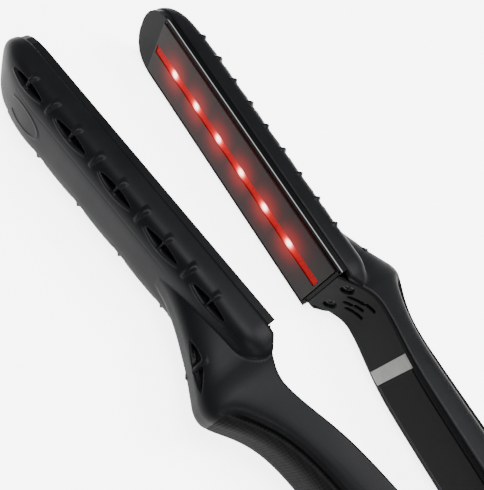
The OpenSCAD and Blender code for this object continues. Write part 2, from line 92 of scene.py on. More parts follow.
# barrel: half width and height, the tapers of its nose in plan and in height, and its round spoon end
barrel = dict(half=12.0, height=13.0, taperLen=18, taperPower=4, taperRound=0.45, tipFlare=0.3,
              noseLen=24, noseLift=0.6, nosePower=2.0, noseRound=0.6,
              spoonS=158.4, spoonLen=7.6, spoonDrop=5.5, spoonNarrow=3.6)


# how far the spoon end has closed, a quarter circle from 0 on the barrel to 1 at its end
def spoonShut(s):
    k = np.clip((barrel["spoonS"] + barrel["spoonLen"] - s) / barrel["spoonLen"], 0, 1)
    return 1 - np.sqrt(1 - k * k)


# half width of the barrel: full, over the nose a root of one less a power of the way, plus a slight flare,
# less the narrowing of the spoon end, nothing behind it
def barrelWidth(s):
    t = np.clip((s - arm["length"] + barrel["taperLen"]) / barrel["taperLen"], 0, 1)
    nose = barrel["half"] * np.maximum(0, 1 - t ** barrel["taperPower"]) ** barrel["taperRound"]
    return np.where(s < barrel["spoonS"], 0.0, nose + barrel["tipFlare"] * t - barrel["spoonNarrow"] * spoonShut(s))


# height of the barrel: level less the drop of the spoon end, over the nose a root of one less a power of the way
def barrelTop(s):
    low = arm["seamH"] + barrel["noseLift"]
    t = np.clip((s - arm["length"] + barrel["noseLen"]) / barrel["noseLen"], 0, 1)
    nose = low + (barrel["height"] - low) * np.maximum(0, 1 - t ** barrel["nosePower"]) ** barrel["noseRound"]
    level = barrel["height"] - barrel["spoonDrop"] * spoonShut(s)
    return np.where(s > arm["length"] - barrel["noseLen"], nose, level)


# hump and handle: crest, ramp down to the barrel, fall to the handle, and how half width and lean change
hump = dict(s=158.0, height=28.0, rampLen=32.0, rampPower=1.4, backLen=11.2, backPower=1.5, crest=3.4, samples=11)
handle = dict(height=17.6, heelH=13.0, heelLen=90, half=10.4,
              halfSteps=((-0.7, 120, 156), (-0.9, 156, 164), (1.3, 174, 190)),
              lean=0.12, leanSteps=((0.16, 128, 156), (0.2, 166, 190)))


# height of the handle and the hump with a sharp crest: a power of the way along the ramp in front, an eased
# heel and a falling exponential behind
def sharpTop(s):
    ramp = np.clip((hump["s"] + hump["rampLen"] - s) / hump["rampLen"], 0, 1)
    front = barrel["height"] + (hump["height"] - barrel["height"]) * ramp ** hump["rampPower"]
    behind = np.maximum(0, hump["s"] - s)
    back = (handle["heelH"] + (handle["height"] - handle["heelH"]) * ease(s, 0, handle["heelLen"])
            + (hump["height"] - handle["height"]) * np.exp(-(behind / hump["backLen"]) ** hump["backPower"]))
    return np.where(s > hump["s"], front, back)


# the same height with a round crest: its mean over a short stretch on both sides
def humpTop(s):
    shifts = np.linspace(-hump["crest"], hump["crest"], hump["samples"])
    return np.mean([sharpTop(np.asarray(s, float) + shift) for shift in shifts], axis=0)


# half width of the handle at the seam: a base and three eased changes
def handleWidth(s):
    return stepped(s, handle["half"], handle["halfSteps"])


# share by which a section of the handle narrows from the seam to its top
def leanAt(s):
    return stepped(s, handle["lean"], handle["leanSteps"])


# cross sections: power of the rounded box, samples up a side, least sizes, softness of the join of two boxes,
# where that softness fades, and the share of the height where the outline closes
section = dict(power=4, samples=420, leastH=0.4, leastSize=0.3, soft=2.6, fadeFrom=182, pastRamp=1, crown=0.999)


# half width of a rounded box at relative height y: the root of one less a power of y, less the lean
def boxHalf(half, lean, y):
    inside = np.clip(y, 0, 1)
    root = np.maximum(0, 1 - inside ** section["power"]) ** (1 / section["power"])
    return np.where(y <= 1, half * root * (1 - lean * inside), 0)


# outline of one cross section in even steps from the -w side over the top to the +w side: the boxes of
# barrel and hump, joined by half of their sum and the root of their squared difference plus the softness
def sectionAt(s, count, inset=0.0):
    rampEnd = hump["s"] + hump["rampLen"]
    hasBarrel = s >= barrel["spoonS"]
    hasHump = s <= rampEnd + section["pastRamp"]
    low = float(seamAt(s))
    top = float(max(barrelTop(s) if hasBarrel else 0, humpTop(s) if hasHump else 0)) - inset
    top = max(top, low + section["leastH"])
    y = np.sin(np.linspace(0, math.pi / 2, section["samples"])) ** 0.5
    h = low + (top - low) * y
    shape = np.zeros_like(h)
    if hasBarrel:
        shape = boxHalf(max(float(barrelWidth(s)) - inset, section["leastSize"]), 0,
                        (h - low) / max(float(barrelTop(s)) - inset - low, section["leastSize"]))
    if hasHump:
        box = boxHalf(float(handleWidth(s)) - inset, float(leanAt(s)),
                      (h - low) / max(float(humpTop(s)) - inset - low, section["leastSize"]))
        soft = section["soft"] if hasBarrel else 0.0
        fade = float(1 - ease(s, section["fadeFrom"], rampEnd))
        joined = 0.5 * (shape + box + np.sqrt((shape - box) ** 2 + soft * soft * fade)) if hasBarrel else box
        joined = np.maximum(joined - 0.25 * soft * fade, np.maximum(shape, box))
        shape = np.where(y < section["crown"], joined, 0)
    shape[-1] = 0
    w = np.concatenate([-shape, shape[::-1][1:]])
    h = np.concatenate([h, h[::-1][1:]])
    run = np.concatenate([[0], np.cumsum(np.hypot(np.diff(w), np.diff(h)))])
    at = np.linspace(0, run[-1], count)
    return np.interp(at, run, w), np.interp(at, run, h)


# corners of the barrel: the shallow channel along them, the lens-shaped vents and the ribs that bridge them
corner = dict(share=0.841, least=4.5, low=5, above=0.6, channel=0.3, channelWide=1.9, startPitch=8.9, end=(255, 262))
rib = dict(first=251.0, pitch=9.2, count=9, half=0.85, out=0.65, centre=1.2, reach=2.5, slant=0.12,
           thin=0.8, thicken=0.25, inner=0.75, outer=0.4, archRound=0.7)
vent = dict(half=6.6, wide=1.1, depth=1.7, edge=0.45, lip=0.25, lipAt=-0.4, lipWide=0.3)
# painted shade in a vent starts this far inside its edge and is full this far in
paintedShadeRun = (0.05, 0.5)  # how far inside its edge a hollow starts to look dark, and is dark
wellOutside = -9.0  # stands for the edge where there is no hollow near


# relief and painted shade of the barrel's corners, and where the ribs are: a parabola's width for each vent, and
# an arch of one less the square of the place across the corner for each rib; shade is painted dark inside the vents
def cornerRelief(s, side, h):
    cornerW = barrel["half"] * corner["share"]
    cornerH = arm["seamH"] + (barrel["height"] - arm["seamH"]) * corner["share"]
    across = ((side - cornerW) - (h - cornerH)) / math.sqrt(2)
    near = (side > corner["least"]) & (h < barrel["height"] + corner["above"]) & (h > corner["low"])
    lastRib = rib["first"] - (rib["count"] - 1) * rib["pitch"]
    field = ease(s, rib["first"] - corner["startPitch"] * rib["pitch"], lastRib) * (1 - ease(s, *corner["end"]))
    relief = -np.where(near, corner["channel"] * bell(across, 0, corner["channelWide"]) * field, 0)
    shade = np.zeros_like(s)
    ribs = np.zeros_like(s)
    for index in range(rib["count"]):
        along = s - (rib["first"] - rib["pitch"] * index)
        if index % 2 == 0:
            edge = vent["wide"] * (1 - (along / vent["half"]) ** 2) - np.abs(across)
            edge = np.where(np.abs(along) < vent["half"], edge, wellOutside)
            relief = np.where(near, relief - vent["depth"] * ease(edge, 0, vent["edge"]), relief)
            shade = np.maximum(shade, near * ease(edge, *paintedShadeRun))
            lip = vent["lip"] * bell(edge, vent["lipAt"], vent["lipWide"]) * (across < 0)
            relief += np.where(near, lip, 0)
        place = (across - rib["centre"] - rib["slant"] * along) / rib["reach"]
        wide = rib["half"] * (rib["thin"] + rib["thicken"] * place)
        body = 1 - ease(np.abs(along), wide - rib["inner"], wide + rib["outer"])
        arch = np.maximum(0, 1 - np.abs(place) ** 2) ** rib["archRound"]
        inside = near & (arch > 0)
        ribs = np.maximum(ribs, np.where(inside, body, 0))
        relief = np.where(inside, relief * (1 - body) + body * rib["out"] * arch, relief)
        shade = np.where(inside, shade * (1 - body), shade)
    return relief, shade, ribs


# top face of the barrel: a fine crease along each side and a plain raised oval near the tip
face = dict(start=186, below=0.8, creaseW=5.9, creaseWide=0.3, creaseDepth=0.05, creaseIn=196, creaseOut=(257, 262),
            ovalS=249, ovalHalf=7.0, ovalWide=4.1, ovalLine=0.07, ovalOut=0.2)


# relief of the top face: a bell across each crease, and one across the oval's line
def faceRelief(s, w, h, ribs):
    onFace = (h > barrel["height"] - face["below"]) & (s > face["start"])
    crease = bell(np.abs(w), face["creaseW"], face["creaseWide"])
    crease = crease * ease(s, face["start"], face["creaseIn"]) * (1 - ease(s, *face["creaseOut"]))
    crease = np.where(onFace, face["creaseDepth"] * crease * (1 - ribs), 0)
    oval = np.hypot((s - face["ovalS"]) / face["ovalHalf"], w / face["ovalWide"])
    return crease, np.where(onFace, face["ovalOut"] * bell(oval, 1, face["ovalLine"]), 0)


# two slim vents on each flank of the hump, with a bridge between them
eye = dict(place=167.8, half=5.6, across=3.9, wide=1.35, depth=1.6, low=15, edge=0.45,
           bridgeAt=-0.3, bridge=(0.4, 0.8), bridgeWide=1.9, bridgeOut=0.3)


# adds those vents to relief and painted shade: a parabola's width, and nothing of it under the bridge
def eyeRelief(s, side, h, relief, shade):
    along = (s - eye["place"]) / eye["half"]
    gap = eye["wide"] * (1 - along ** 2) - np.abs(side - eye["across"])
    gap = np.where((np.abs(along) < 1) & (h > eye["low"]), gap, wellOutside)
    relief = relief - eye["depth"] * ease(gap, 0, eye["edge"])
    shade = np.maximum(shade, ease(gap, *paintedShadeRun))
    bridge = 1 - ease(np.abs(s - eye["place"] - eye["bridgeAt"]), *eye["bridge"])
    bridge = bridge * (np.abs(side - eye["across"]) < eye["bridgeWide"]) * (h > eye["low"])
    return relief * (1 - bridge) + eye["bridgeOut"] * bridge, shade * (1 - bridge)


# grip panel: its ends and width, its bed in the shell, the groove round it and the painted shade there, and the
# panel's own grid
grip = dict(start=24.0, end=157.2, share=0.8, bed=1.1, bedWide=0.15, bedFade=(7, 0.5),
            grooveAt=0.7, grooveWide=0.8, grooveDepth=1.2, grooveIn=(26, 40), grooveOut=6, shade=0.75, shadeIn=0.3,
            sink=0.08, edgeSink=0.35, edgePower=6, frontSink=0.3, frontRun=3, thick=0.9,
            stations=190, across=41, heights=400)


# half width of the grip, a share of the shell's
def gripHalf(s):
    return handleWidth(s) * (1 - leanAt(s)) * grip["share"]


# sets the bed of the grip, level and fading out in front, takes the bell of the groove off beside it and paints shade
# along it
def gripRelief(s, side, h, relief, shade):
    half = gripHalf(s)
    upper = h > (seamAt(s) + humpTop(s)) / 2
    inGrip = (s > grip["start"]) & (s < grip["end"]) & upper & (side < half + grip["bedWide"])
    fadeStart, fadeEnd = (grip["end"] - back for back in grip["bedFade"])
    relief = np.where(inGrip, -grip["bed"] * (1 - ease(s, fadeStart, fadeEnd)), relief)
    window = ease(s, *grip["grooveIn"]) * (1 - ease(s, grip["end"] - grip["grooveOut"], grip["end"]))
    groove = bell(side - half, grip["grooveAt"], grip["grooveWide"]) * window
    relief = relief - np.where(upper & ~inGrip, grip["grooveDepth"] * groove, 0)
    shaded = np.where(upper & (side > half - grip["shadeIn"]), grip["shade"] * groove, 0)
    return relief, np.maximum(shade, shaded)


# relief of the outer face in mm and painted shade in its hollows, one feature after another
def reliefAt(s, w, h):
    side = np.abs(w)
    relief, shade, ribs = cornerRelief(s, side, h)
    crease, oval = faceRelief(s, w, h, ribs)
    relief, shade = eyeRelief(s, side, h, relief - crease + oval, shade)
    return gripRelief(s, side, h, relief, shade)


# places local points of an arm in the frame, turned by half the opening: side 1 is the far arm, -1 the near one
def placeArm(s, h, w, side):
    x = -s * math.cos(openAngle) + h * math.sin(openAngle)
    y = side * (s * math.sin(openAngle) + h * math.cos(openAngle))
    return np.stack([hinge[0] + x * 1e-3, hinge[1] + y * 1e-3, hinge[2] + w * 1e-3], -1)


# one closed piece from grids of points, each row a closed loop, with flat ends, riding on its arm
def ringPiece(name, grids, side, flip):
    quads, caps, start = [], [], 0
    for points in grids:
        rows, cols = points.shape[:2]
        index = start + np.arange(rows * cols).reshape(rows, cols)
        after = np.roll(index, -1, axis=1)
        quads.append(np.stack([index[:-1], after[:-1], after[1:], index[1:]], -1).reshape(-1, 4))
        caps.append(np.stack([index[0, ::-1], index[-1]]))
        start += rows * cols
    turn = -1 if flip else 1
    quads = np.concatenate(quads)[:, ::turn]
    caps = np.concatenate(caps)[:, ::turn]
    mesh = bpy.data.meshes.new(name)
    mesh.from_pydata(np.concatenate([points.reshape(-1, 3) for points in grids]), [], quads.tolist() + caps.tolist())
    mesh.polygons.foreach_set("use_smooth", np.arange(len(quads) + len(caps)) < len(quads))
    mesh.update()
    obj = bpy.data.objects.new(name, mesh)
    bpy.context.scene.collection.objects.link(obj)
    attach(obj, "far_arm" if side > 0 else "near_arm")
    return obj


# shell: wall, points of its outer and inner outline, stations (start, end, count) with closer ones at the tip,
# how the inside closes toward the tip, its plain rim, and the room for the edges of the floating plate
shell = dict(wall=1.8, outer=168, inner=20,
             stations=((9.6, 24, 14), (24.3, 118, 50), (119, 176, 130), (176.3, 262, 285)),
             tipBack=7.4, tipRun=7.2, tipFrom=0.05, tipCount=16, innerEnd=6, closeRun=8, leastClose=0.15,
             roof=1.0, leastLift=0.1, plainRim=3, rimTuck=0.35, rimPoints=2.5, reach=12.1)
plateRoom = dict(start=164.6, end=260.2, reach=11.0, height=1.25)


# outline of the shell's inside at s below the outer outline's heights h: a smaller section, lowered where it
# would come through the nose, drawn in toward the tip, with upright sides beside the plate
def insideAt(s, h):
    w, inner = sectionAt(min(s, arm["length"] - shell["innerEnd"]), shell["inner"], shell["wall"])
    room = (h.max() - shell["roof"] - inner[0]) / (inner.max() - inner[0])
    inner = inner[0] + (inner - inner[0]) * min(1.0, max(shell["leastLift"], room))
    reach = plateRoom["reach"] if plateRoom["start"] < s < plateRoom["end"] else -w[0]
    step = inner[0] + plateRoom["height"]
    w = np.concatenate([[-reach, -reach], w[1:-1], [reach, reach]])
    inner = np.concatenate([[inner[0], step], inner[1:-1], [step, inner[0]]])
    return w * min(1.0, max(shell["leastClose"], (arm["length"] - s) / shell["closeRun"])), inner


# outer shell of one arm: outline and inside at each station, the relief added along the outline's normal
def buildShell(name, side):
    tip = np.sin(np.linspace(shell["tipFrom"], 1, shell["tipCount"]) * math.pi / 2)
    stations = np.concatenate([np.linspace(*run) for run in shell["stations"]]
                              + [arm["length"] - shell["tipBack"] + shell["tipRun"] * tip])
    rings = []
    for station in stations:
        outline = sectionAt(station, shell["outer"])
        inside = insideAt(station, outline[1])
        rings.append([np.concatenate([outline[axis], inside[axis][::-1]]) for axis in (0, 1)])
    w, h = np.array(rings).transpose(1, 0, 2)
    s = np.repeat(stations[:, None], w.shape[1], 1)
    outer = np.s_[:, :shell["outer"]]
    dw, dh = np.gradient(w[outer], axis=1), np.gradient(h[outer], axis=1)
    size = np.maximum(np.hypot(dw, dh), 1e-6)
    relief, shade = reliefAt(s[outer], w[outer], h[outer])
    relief[:, :shell["plainRim"]] = 0
    relief[:, -shell["plainRim"]:] = 0
    w[outer] += -dh / size * relief
    h[outer] += dw / size * relief
    fromRim = np.minimum(np.arange(shell["outer"]), np.arange(shell["outer"])[::-1])
    w[outer] -= np.sign(w[outer]) * shell["rimTuck"] * np.clip(1 - fromRim / shell["rimPoints"], 0, 1)
    w = np.clip(w, -shell["reach"], shell["reach"])
    obj = ringPiece(name, [placeArm(s, h, w, side)], side, side > 0)
    # painted shade: how dark the vents and the groove are is kept on the points for the material
    hollow = np.zeros(w.shape)
    hollow[outer] = shade
    obj.data.attributes.new("hollow", "FLOAT", "POINT").data.foreach_set("value", hollow.ravel())
    return obj


# height of the shell's plain surface over the given w, read off its rounded box section
def gripTop(s, w, heights):
    widths = boxHalf(float(handleWidth(s)), float(leanAt(s)), heights)
    low, top = float(seamAt(s)), float(humpTop(s))
    return low + (top - low) * np.interp(-np.abs(w), -widths, heights)


# grip panel just below the shell's surface; its edges sink by a power of the way across, its front eases down
def buildGrip(name, side):
    stations = np.linspace(grip["start"], grip["end"], grip["stations"])
    across = np.linspace(-1, 1, grip["across"])
    half = gripHalf(stations)[:, None]
    w = half * across
    heights = np.linspace(0, 1, grip["heights"])
    top = np.array([gripTop(s, half[row] * across, heights) for row, s in enumerate(stations)])
    front = ease(stations, grip["end"] - grip["frontRun"], grip["end"])[:, None]
    top = top - grip["sink"] - grip["edgeSink"] * np.abs(across) ** grip["edgePower"] - grip["frontSink"] * front
    h = np.concatenate([top, np.repeat(top[:, :1] - grip["thick"], 2, 1)], 1)
    w = np.concatenate([w, half, -half], 1)
    s = np.repeat(stations[:, None], w.shape[1], 1)
    return ringPiece(name, [placeArm(s, h, w, side)], side, side > 0)


# direction across the inner cover's surface at s, as (along s, along h), pointing into the cover
def coverNormal(s, near=0.05):
    slope = (innerAt(s + near) - innerAt(s - near)) / (2 * near)
    size = np.sqrt(1 + slope * slope)
    return -slope / size, 1 / size


# screws with their wells (s, w), slits (start, end, w), and the holes of the near arm's controls
screw = dict(places=((159.5, 5.2), (159.5, -4.9), (30.0, 5.4), (30.0, -5.4)), radius=1.85, height=0.6, dome=0.35,
             slot=0.24, slotLen=1.15, slotDepth=0.4, slotEdge=0.08, root=-0.6, wellR=2.1, wellEdge=0.3,
             wellDepth=1.35, seat=0.05, rings=26, turns=72, pole=0.02)
slit = dict(places=((157.9, 153.9, 3.0), (153.4, 150.4, 4.6), (157.6, 155.6, -0.4), (155.0, 152.6, 0.9),
                    (156.0, 154.0, -2.4), (153.6, 150.9, -1.6)),
            depth=1.5, half=(0.4, 0.68), slant=0.28, roundEnd=0.35)
control = dict(holes=(62.0, 78.0, 88.0), radius=3.05, depth=1.85, windowS=(96.0, 108.2), windowHalf=4.1,
               windowDepth=1.0, edge=0.15)


# depth of the wells, slits and, on the near arm, the holes of the controls, in mm below the surface: each is
# full inside its outline and eases out over its edge
def coverRelief(s, w, side):
    hollows = []
    for place, across in screw["places"]:
        stretch = np.sqrt(1 + (innerAt(place + 0.5) - innerAt(place - 0.5)) ** 2)
        away = np.hypot((s - place) * stretch, w - across)
        hollows.append(screw["wellDepth"] * (1 - ease(away, screw["wellR"] - screw["wellEdge"], screw["wellR"])))
    for first, last, across in slit["places"]:
        middle = (first + last) / 2
        beyond = np.maximum(0, np.abs(s - middle) - (first - last) / 2 + slit["roundEnd"])
        away = np.hypot(beyond, w - across - slit["slant"] * (middle - s))
        hollows.append(slit["depth"] * (1 - ease(away, *slit["half"])))
    if side < 0:
        for place in control["holes"]:
            edge = ease(np.hypot(s - place, w), control["radius"], control["radius"] + control["edge"])
            hollows.append(control["depth"] * (1 - edge))
        first, last = control["windowS"]
        away = np.maximum(np.abs(s - (first + last) / 2) - (last - first) / 2, np.abs(w) - control["windowHalf"])
        hollows.append(control["windowDepth"] * (1 - ease(away, 0, control["edge"])))
    return np.max(hollows, axis=0)


# inner cover: a bent sheet with wells and slits sunk along its own normal, side edges as quarter circles
def buildCover(name, side):
    stops = cover["stops"] + (cover["end"],)
    steps = cover["nearSteps"] if side < 0 else cover["farSteps"]
    stations = np.concatenate([np.arange(*run) for run in zip(stops, stops[1:], steps)] + [stops[-1:]])
    across = np.linspace(-cover["halfW"], cover["halfW"], cover["across"])
    s, w = np.meshgrid(stations, across, indexing="ij")
    edge = np.minimum(1, (cover["halfW"] - np.abs(w)) / cover["edgeRun"])
    depth = coverRelief(s, w, side) + cover["edgeDrop"] * (1 - np.sqrt(1 - (1 - edge) ** 2))
    along, into = coverNormal(s)
    back, backW = np.meshgrid(stations, np.linspace(cover["halfW"], -cover["halfW"], cover["behind"]), indexing="ij")
    lean = cover["frontLean"] * ease(back, cover["neckS"], cover["neckS"] + cover["leanRun"])
    points = placeArm(np.concatenate([s + along * depth, back - lean], 1),
                      np.concatenate([innerAt(s) + into * depth, innerAt(back) + cover["thick"]], 1),
                      np.concatenate([w, backW], 1), side)
    return ringPiece(name, [points], side, side < 0)


# blank label and blank panel on the far inner cover: ends along s, half width, and the depths of both faces
sheets = {"blank_label": dict(ends=(132.4, 136.6), half=8.5, top=-0.12, low=0.05),
          "blank_panel": dict(ends=(86.0, 132.2), half=8.3, top=-0.04, low=0.1)}


# thin sheet that follows the inner cover, out along its upper face and back along its lower one
def buildSheet(name, side, ends, half, top, low, alongCount=60, acrossCount=25):
    across = np.linspace(-half, half, acrossCount)
    s, w = np.meshgrid(np.linspace(*ends, alongCount), np.concatenate([across, across[::-1]]), indexing="ij")
    depth = np.repeat([top, low], acrossCount)
    along, into = coverNormal(s)
    return ringPiece(name, [placeArm(s + along * depth, innerAt(s) + into * depth, w, side)], side, side < 0)


# cross-slotted screw heads: a parabolic dome on a polar grid, closed by a cylinder below
def buildScrews(name, side):
    radii = np.append(np.linspace(screw["pole"], screw["radius"], screw["rings"]), screw["radius"])
    r, a = np.meshgrid(radii, np.linspace(0, 2 * math.pi, screw["turns"], endpoint=False), indexing="ij")
    x, y = r * np.cos(a), r * np.sin(a)
    rise = screw["height"] * (1 - screw["dome"] * (r / screw["radius"]) ** 2)
    cross = np.minimum(np.maximum(np.abs(x) - screw["slot"], np.abs(y) - screw["slotLen"]),
                       np.maximum(np.abs(y) - screw["slot"], np.abs(x) - screw["slotLen"]))
    rise = rise - screw["slotDepth"] * (1 - ease(cross, -screw["slotEdge"], screw["slotEdge"]))
    rise[-1] = screw["root"]
    depth = screw["wellDepth"] - screw["seat"] - rise
    grids = []
    for place, across in screw["places"]:
        along, into = coverNormal(place)
        grids.append(placeArm(place + along * depth + into * x, innerAt(place) + into * depth - along * x,
                              across + y, side))
    return ringPiece(name, grids, side, side < 0)


# linear colour of an sRGB hex value: a part over 12.92 where dark, elsewhere the sRGB curve of power 2.4
def linear(hexColour):
    parts = [int(hexColour[i:i + 2], 16) / 255 for i in (1, 3, 5)]
    return tuple(c / 12.92 if c <= 0.04045 else ((c + 0.055) / 1.055) ** 2.4 for c in parts) + (1.0,)


# fills a node's inputs, given by number or name: a socket is linked, a number or colour is set
def fill(tree, node, inputs):
    for key, value in inputs.items():
        if isinstance(value, bpy.types.NodeSocket):
            tree.links.new(value, node.inputs[key])
        else:
            node.inputs[key].default_value = value


# adds a node with its settings; values fill its inputs in order, named ones by key; gives the chosen output,
# or the node itself where output is None
def addNode(tree, kind, *values, named=None, output=0, **settings):
    node = tree.nodes.new("ShaderNode" + kind)
    for key, value in settings.items():
        setattr(node, key, value)
    fill(tree, node, {**dict(enumerate(values)), **(named or {})})
    return node if output is None else node.outputs[output]


# empty material: its shader joined to its output, and the Object coordinates that every pattern reads
def newMaterial(name):
    material = bpy.data.materials.new(name)
    material.use_nodes = True
    tree = material.node_tree
    tree.nodes.clear()
    shader = addNode(tree, "BsdfPrincipled", output=None)
    addNode(tree, "OutputMaterial", shader.outputs[0], output=None)
    return material, tree, shader, addNode(tree, "TexCoord", output="Object")


# Inputs of a noise in order: place, W, which stays 0, scale, detail and roughness. Its scale is 1000 over the
# size in mm of what shows. Inputs of a Map Range: the value, the ends of its range and what these turn into.
# Inputs of a colour Mix: 0 is the factor, 6 the first colour and 7 the second.
noiseRough = 0.6
noiseSpan = (0.3, 0.7)  # nearly all of a noise lies between these
asColour = dict(data_type="RGBA", output=2)

# moulded plastics: colours, roughness, grain size and depth in mm, gloss, and what is added on the surface
plastics = {
    # ABS from a spark-eroded mould: satin charcoal with a grain too fine to see singly; painted shade makes it
    # black inside the vents and along the grip's groove
    "charcoal moulded ABS": dict(dark="#050608", light="#0a0b0d", rough=0.42, grain=0.3, depth=0.012,
                                 specular=0.07, hollow=True),
    # nylon from a matt mould: a shade duller and greyer than the shells
    "matte charcoal nylon": dict(dark="#070809", light="#0c0d0e", rough=0.5, grain=0.3, depth=0.015, specular=0.06),
    # glass-filled PPS: as dark as the shells, so that frame and shell read as one round nose
    "black PPS carrier": dict(dark="#060708", light="#0c0d0f", rough=0.42, grain=0.3, depth=0.012, specular=0.06),
    # the same, but with painted shade, black, on its side walls, and a painted highlight line along them
    "black PPS carrier with painted shade and highlight": dict(dark="#060708", light="#0c0d0f", rough=0.42, grain=0.3, depth=0.012,
                                       specular=0.06, wallShadeAndHighlight=True),
    # fired ceramic: chalky cream with a grain like biscuit
    "fired ceramic": dict(dark="#c9c2b4", light="#ded8cb", rough=0.6, grain=0.5, depth=0.02),
    # glass fibre board under green lacquer: half gloss, slightly mottled
    "lacquered circuit board": dict(dark="#123c22", light="#1c5732", rough=0.35, grain=0.8, depth=0.01),
    # polyester film dyed black: smooth and flat, a little glossier than the cover under it
    "blank black film": dict(dark="#030303", light="#060607", rough=0.36, grain=0.25, depth=0.004, specular=0.05),
    # polished ABS caps: black with clear highlights
    "glossy black cap": dict(dark="#060708", light="#0b0c0d", rough=0.25, grain=0.5, depth=0.004, specular=0.3),
    # grey ABS: light enough that the buttons stand out from the cover
    "grey button ABS": dict(dark="#3a3d40", light="#484b4e", rough=0.42, grain=0.3, depth=0.01, specular=0.25),
    # smoked acrylic: nearly black with a mirror-like face
    "smoked display window": dict(dark="#08090a", light="#0e1011", rough=0.08, grain=2.0, depth=0.001),
    # soft TPE: dull black that hardly shines
    "black TPE collar": dict(dark="#08090a", light="#0e0f10", rough=0.55, grain=0.35, depth=0.02, specular=0.1),
    # cast resin of the lamps: pale, warm and glossy
    "clear lamp resin": dict(dark="#e6d2cc", light="#f4e6e0", rough=0.15, grain=0.6, depth=0.002)}
# mould: cloud size in mm, its share of the tone, roughness spread down and up, and the near-black of the painted
# shade
mould = dict(size=12, share=0.6, smoother=0.05, rougher=0.06, hollow="#010101")


# moulded plastic: the tone is a share of a soft cloud and the rest of the grain; colour and roughness follow
# it, the bump follows the grain, and painted shade in vents and grooves takes tone and dark colour to black
def mouldedPlastic(name, dark, light, rough, grain, depth, specular=0.5, hollow=False, wallShadeAndHighlight=False):
    material, tree, shader, where = newMaterial(name)
    cloud = addNode(tree, "TexNoise", where, 0, 1000 / mould["size"], 3, noiseRough)
    fine = addNode(tree, "TexNoise", where, 0, 1000 / grain, 2, noiseRough)
    cloudPart = addNode(tree, "Math", cloud, mould["share"], operation="MULTIPLY")
    finePart = addNode(tree, "Math", fine, 1 - mould["share"], operation="MULTIPLY")
    tone = addNode(tree, "Math", cloudPart, finePart, operation="ADD")
    level = addNode(tree, "MapRange", tone, *noiseSpan, 0, 1)
    low = linear(dark)
    # painted shade: the shell goes toward black where its vents and groove are
    if hollow:
        inside = addNode(tree, "Attribute", output="Fac", attribute_name="hollow")
        level = addNode(tree, "Math", level, inside, operation="SUBTRACT")
        share = addNode(tree, "MapRange", inside, 0, 1, 0, 1)
        low = addNode(tree, "Mix", **asColour, named={0: share, 6: low, 7: linear(mould["hollow"])})
    colour = addNode(tree, "Mix", **asColour, named={0: level, 6: low, 7: linear(light)})
    fill(tree, shader, {
        "Base Color": paintWallShadeAndHighlight(tree, where, colour) if wallShadeAndHighlight else colour,
        "Roughness": addNode(tree, "MapRange", tone, *noiseSpan, rough - mould["smoother"],
                             rough + mould["rougher"]),
        "Normal": addNode(tree, "Bump", named={"Distance": depth * 1e-3, "Height": fine}),
        "Specular IOR Level": specular})
    return material


# side wall of the far carrier in metres: its distance from the middle, how far back the nose's tone ends, the
# black of the painted shade on it, and the height, half width and colour of its painted highlight line
wall = dict(across=(0.0101, 0.0102), behind=(0.2585, 0.2598), dark="#010101", highlightH=0.0011, highlightHalf=0.00024,
            paintedHighlight="#8d9092")


# colour: painted shade makes the carrier's walls black; a painted highlight on them falls off evenly from its middle
# line
def paintWallShadeAndHighlight(tree, where, colour):
    coords = armCoords(tree, where, 1)
    across = addNode(tree, "Math", coords[2], operation="ABSOLUTE")
    along = addNode(tree, "Math", coords[0], -1.0, operation="MULTIPLY")
    behind = addNode(tree, "MapRange", along, *wall["behind"], 1, 0)
    beside = addNode(tree, "MapRange", across, *wall["across"], 0, 1)
    edge = addNode(tree, "Math", beside, behind, operation="MULTIPLY")
    above = addNode(tree, "Math", coords[1], wall["highlightH"], operation="SUBTRACT")
    above = addNode(tree, "Math", above, operation="ABSOLUTE")
    above = addNode(tree, "Math", above, 1 / wall["highlightHalf"], operation="MULTIPLY")
    paintedHighlight = addNode(tree, "Math", 1.0, above, operation="SUBTRACT")
    paintedHighlight = addNode(tree, "Math", paintedHighlight, 0.0, operation="MAXIMUM")
    paintedHighlight = addNode(tree, "Math", paintedHighlight, edge, operation="MULTIPLY")
    black = addNode(tree, "Mix", **asColour, named={0: edge, 6: colour, 7: linear(wall["dark"])})
    return addNode(tree, "Mix", **asColour, named={0: paintedHighlight, 6: black, 7: linear(wall["paintedHighlight"])})


# position inside an arm in metres: the hinge taken off, then the arm turned back to the middle line
def armCoords(tree, where, side):
    moved = addNode(tree, "VectorMath", where, tuple(hinge), operation="SUBTRACT")
    turned = addNode(tree, "VectorRotate", rotation_type="Z_AXIS", named={"Vector": moved, "Angle": side * openAngle})
    return addNode(tree, "SeparateXYZ", turned, output=None).outputs


# rubber grip: two crossed sets of ridges 1.2 mm apart, coarser than the real dots so that they show
rubber = dict(dark="#040405", light="#0b0b0c", angles=(38, -52), ridge=0.0012, dots=0.5, grain=0.3,
              grainSize=0.25, tone=(-0.4, 0.7), rough=(0.55, 0.7), depth=0.12, strength=0.6, specular=0.06)


